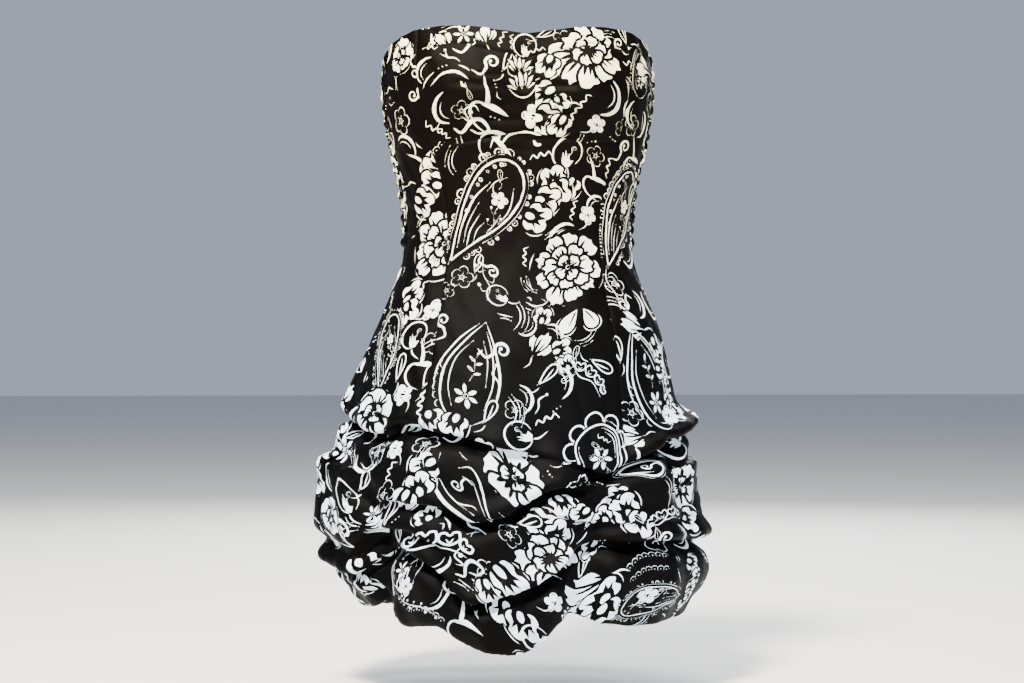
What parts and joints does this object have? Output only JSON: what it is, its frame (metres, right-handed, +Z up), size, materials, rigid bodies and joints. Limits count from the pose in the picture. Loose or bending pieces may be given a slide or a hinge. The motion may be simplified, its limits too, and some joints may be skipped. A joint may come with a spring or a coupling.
{
  "type": "bubble dress",
  "caption": "Strapless sweetheart bubble dress in printed cotton, filled out as worn, with cups, princess seams, a shirred back and a puffed, ruched skirt.",
  "frame": {"origin": "centre of the hollow at full-bust level, where the wearer holds the dress up", "axes": "+Z up, the front of the dress faces -Y, +X to the wearer's left"},
  "size_m": [0.4446, 0.3416, 0.6733],
  "materials": {
    "band_cotton": "matte black cotton with a white print",
    "print_cotton": "matte black cotton with a white print",
    "shirred_cotton": "matte black cotton with a white print, shirred",
    "skirt_cotton": "matte black cotton with a white print"
  },
  "bodies": {
    "root": {"neck_band": "band_cotton", "cup_right": "print_cotton", "cup_left": "print_cotton", "front_panel": "print_cotton", "side_panel_right": "print_cotton", "side_panel_left": "print_cotton", "back_shirred_panel": "shirred_cotton", "back_panel": "print_cotton", "skirt_front": "skirt_cotton", "skirt_back": "skirt_cotton"}
  },
  "joints": []
}
